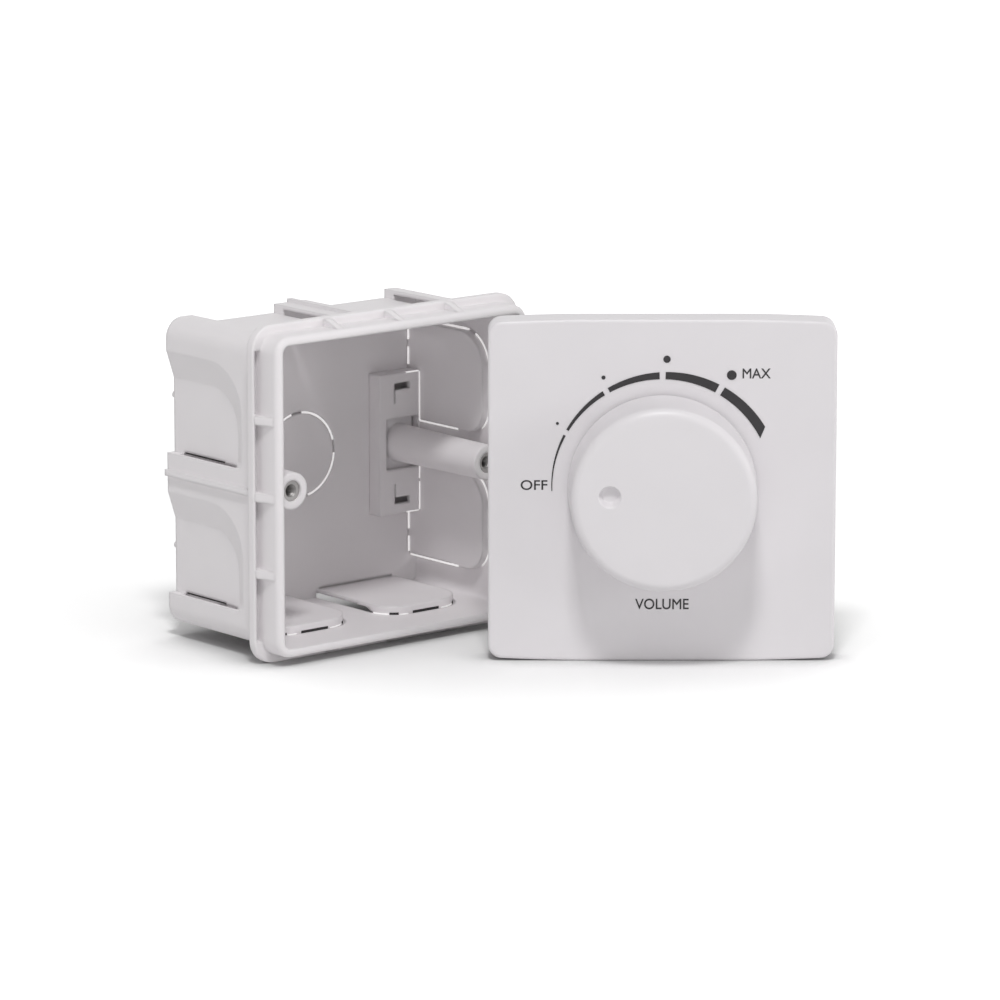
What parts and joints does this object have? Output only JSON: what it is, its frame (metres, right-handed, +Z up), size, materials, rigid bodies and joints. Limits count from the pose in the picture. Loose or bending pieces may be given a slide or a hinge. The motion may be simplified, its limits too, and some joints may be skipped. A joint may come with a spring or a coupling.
{
  "type": "speaker volume control",
  "caption": "Wall volume control: square cover plate, large rotary knob over a printed scale, switched transformer behind, and its open flush-mounting back box beside it",
  "frame": {"origin": "middle of the face on which the cover plate's lower edge rests, on the floor, halfway through the plate's depth", "axes": "+X to the right and +Z up as the user faces the knob; the knob and plate face -Y, and the box stands to the left, turned 40 degrees about +Z"},
  "size_m": [0.1673, 0.0956, 0.086],
  "materials": {
    "cover_white": "satin moulded plastic, very fine even grain",
    "box_white": "satin moulded plastic, slightly grey",
    "print_black": "flat screen-printed ink",
    "zinc_steel": "zinc-plated pressed steel",
    "spring_steel": "bright spring steel",
    "cast_zinc": "die-cast, as cast",
    "brass": "plated contact brass",
    "black_plastic": "moulded black plastic",
    "brown_board": "punched laminate",
    "iron_laminations": "stacked laminations, dark oxide",
    "natural_nylon": "natural nylon",
    "copper": "enamelled copper wire",
    "tape_yellow": "polyester tape",
    "board_green": "solder-masked board",
    "terminal_green": "moulded terminal housing",
    "wire_red": "wire insulation",
    "wire_black": "wire insulation"
  },
  "bodies": {
    "control_and_box": {"back_box": "box_white", "pillar_retainer": "box_white", "fixed_pillar_insert": "zinc_steel", "cover_plate": "cover_white", "scale_segments": "print_black", "scale_dots": "print_black", "mounting_frame": "zinc_steel", "switch_nut": "zinc_steel", "lock_washer": "spring_steel", "switch_bush": "cast_zinc", "switch_housing": "black_plastic", "wafer": "brown_board", "fixed_contacts": "brass", "switch_screws": "zinc_steel", "transformer_core": "iron_laminations", "bobbin": "natural_nylon", "winding": "copper", "winding_tape": "tape_yellow", "core_bracket": "zinc_steel", "bracket_screws": "zinc_steel", "circuit_board": "board_green", "board_pillars": "cast_zinc", "board_screws": "zinc_steel", "terminal_block": "terminal_green", "terminal_screws": "zinc_steel", "terminal_clamps": "brass", "tap_wires": "wire_red", "line_wires": "wire_black"},
    "knob_and_shaft": {"knob": "cover_white", "knob_clip": "spring_steel", "switch_shaft": "cast_zinc", "shaft_circlip": "spring_steel", "detent_rotor": "natural_nylon", "detent_ball": "spring_steel", "detent_spring": "spring_steel", "wiper": "brass"},
    "sliding_pillar": {"adjustable_pillar": "box_white", "adjustable_pillar_insert": "zinc_steel"}
  },
  "joints": [
    {"name": "knob_turn", "type": "hinge", "parent": "control_and_box", "child": "knob_and_shaft", "pos_m": [0, -0.01, 0.044], "axis": [0, 1, 0], "range_deg": [0, 120]},
    {"name": "pillar_slide", "type": "slide", "parent": "control_and_box", "child": "sliding_pillar", "axis": [0, 0, 1], "range_m": [-0.0015, 0.0015]}
  ]
}
